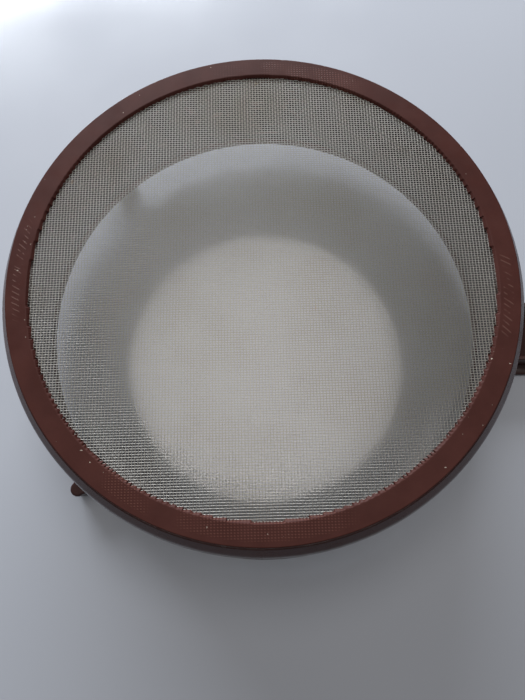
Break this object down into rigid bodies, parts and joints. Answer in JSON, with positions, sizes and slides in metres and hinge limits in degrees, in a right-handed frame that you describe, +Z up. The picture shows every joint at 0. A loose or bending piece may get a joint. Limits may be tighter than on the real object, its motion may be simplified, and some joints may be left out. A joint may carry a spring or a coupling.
{
  "type": "double sieve strainer",
  "caption": "Round two-stage honey strainer: a drum with a coarse wire mesh stands in a low ring with a fine wire mesh, a handle and two rest lugs.",
  "frame": {"origin": "middle of the strainer's footprint, on the surface that it stands on; the drum's axis is parallel to Z and lies 56 mm to the -X side", "axes": "+Z up through the drum towards the coarse mesh, +X from the drum towards the handle's free end, +Y across"},
  "size_m": [0.3832, 0.2712, 0.096],
  "materials": {
    "brown_plastic": "dark red-brown moulded polypropylene, semi-gloss",
    "coarse_wire": "plain-woven stainless wire, warm grey",
    "fine_wire": "fine plain-woven stainless wire"
  },
  "bodies": {
    "fine_sieve": {"fine_ring_frame": "brown_plastic", "fine_clamp_ring": "brown_plastic", "fine_mesh": "fine_wire", "handle": "brown_plastic", "rest_lug_left": "brown_plastic", "rest_lug_right": "brown_plastic"},
    "coarse_sieve": {"coarse_drum": "brown_plastic", "coarse_clamp_ring": "brown_plastic", "coarse_mesh": "coarse_wire"}
  },
  "joints": [
    {"name": "coarse_sieve_lift", "type": "slide", "parent": "fine_sieve", "child": "coarse_sieve", "axis": [0, 0, 1], "range_m": [0, 0.08]}
  ]
}
